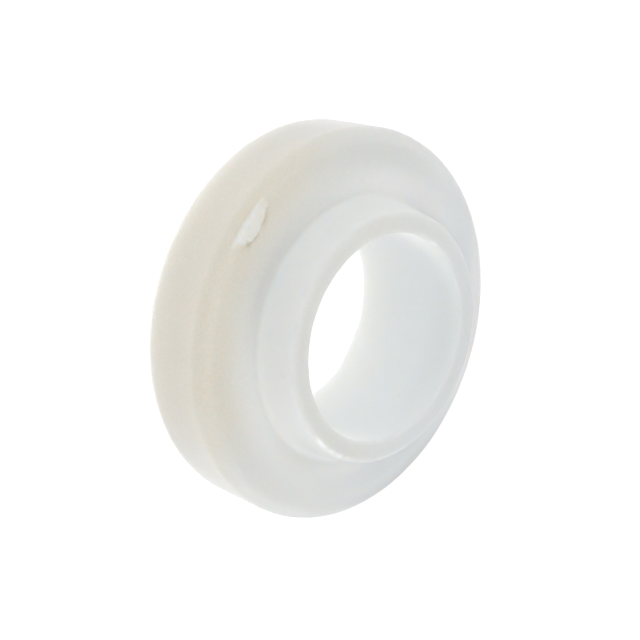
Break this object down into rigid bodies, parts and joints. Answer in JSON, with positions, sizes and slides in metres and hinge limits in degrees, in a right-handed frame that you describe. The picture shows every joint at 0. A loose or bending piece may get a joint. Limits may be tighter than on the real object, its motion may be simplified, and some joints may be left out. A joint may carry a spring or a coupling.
{
  "type": "shoulder washer",
  "caption": "Thick moulded nylon washer with a flat back, a sloping shoulder and a short tapered collar around a plain M8 clearance bore.",
  "frame": {"origin": "centre of the bore at the flat back face, which the washer lies on", "axes": "+Z along the bore axis, from the flat back towards the end of the collar; +X through the mark left by the moulding gate"},
  "size_m": [0.016, 0.016, 0.0056],
  "materials": {
    "natural_nylon": "milky translucent natural nylon, as moulded, with a soft sheen"
  },
  "bodies": {
    "root": {"stepped_washer": "natural_nylon"}
  },
  "joints": []
}
